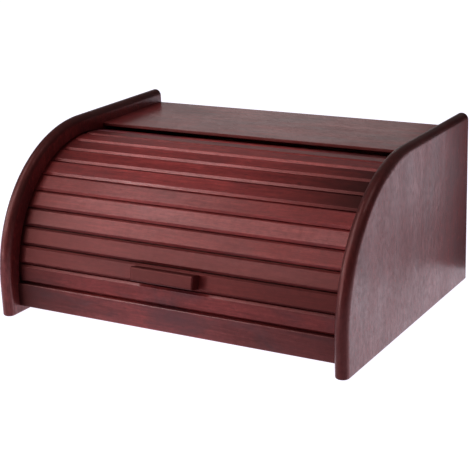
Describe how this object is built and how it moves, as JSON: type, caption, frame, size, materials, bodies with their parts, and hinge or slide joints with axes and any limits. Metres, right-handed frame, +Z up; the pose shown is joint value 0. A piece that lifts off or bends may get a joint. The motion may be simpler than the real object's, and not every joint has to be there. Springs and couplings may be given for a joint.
{
  "type": "bread box with roll top",
  "caption": "Wooden countertop bread box with a roll-up slatted shutter that slides up and back in curved grooves of its two side panels.",
  "frame": {"origin": "centre of the base, on the surface that the side panels stand on", "axes": "+X along the width to the right, -Y towards the front, +Z up"},
  "size_m": [0.39, 0.296, 0.18],
  "materials": {
    "stained_panel": "semi-gloss mahogany stain on beech",
    "stained_slat": "semi-gloss mahogany stain on beech",
    "stained_top": "semi-gloss mahogany stain on plywood",
    "stained_plywood": "thin satin mahogany stain on plywood",
    "raw_beech": "raw beech",
    "canvas": "brown cotton canvas",
    "screw_steel": "zinc plated"
  },
  "bodies": {
    "case": {"side_panel_left": "stained_panel", "side_panel_right": "stained_panel", "front_rail": "stained_slat", "top_board": "stained_top", "bottom_board": "stained_plywood", "back_panel": "stained_plywood", "rail_dowels": "raw_beech", "back_panel_nails": "screw_steel"},
    "shutter": {"slat_01": "stained_slat", "slat_02": "stained_slat", "slat_03": "stained_slat", "slat_04": "stained_slat", "slat_05": "stained_slat", "slat_06": "stained_slat", "slat_07": "stained_slat", "slat_08": "stained_slat", "slat_09": "stained_slat", "slat_10": "stained_slat", "slat_11": "stained_slat", "slat_12": "stained_slat", "slat_13": "stained_slat", "canvas_backing": "canvas", "handle": "stained_slat", "handle_screws": "screw_steel"}
  },
  "joints": [
    {"name": "shutter_slide", "type": "hinge", "parent": "case", "child": "shutter", "pos_m": [0, -0.001, 0.033], "axis": [-1, 0, 0], "range_deg": [0, 73]}
  ]
}
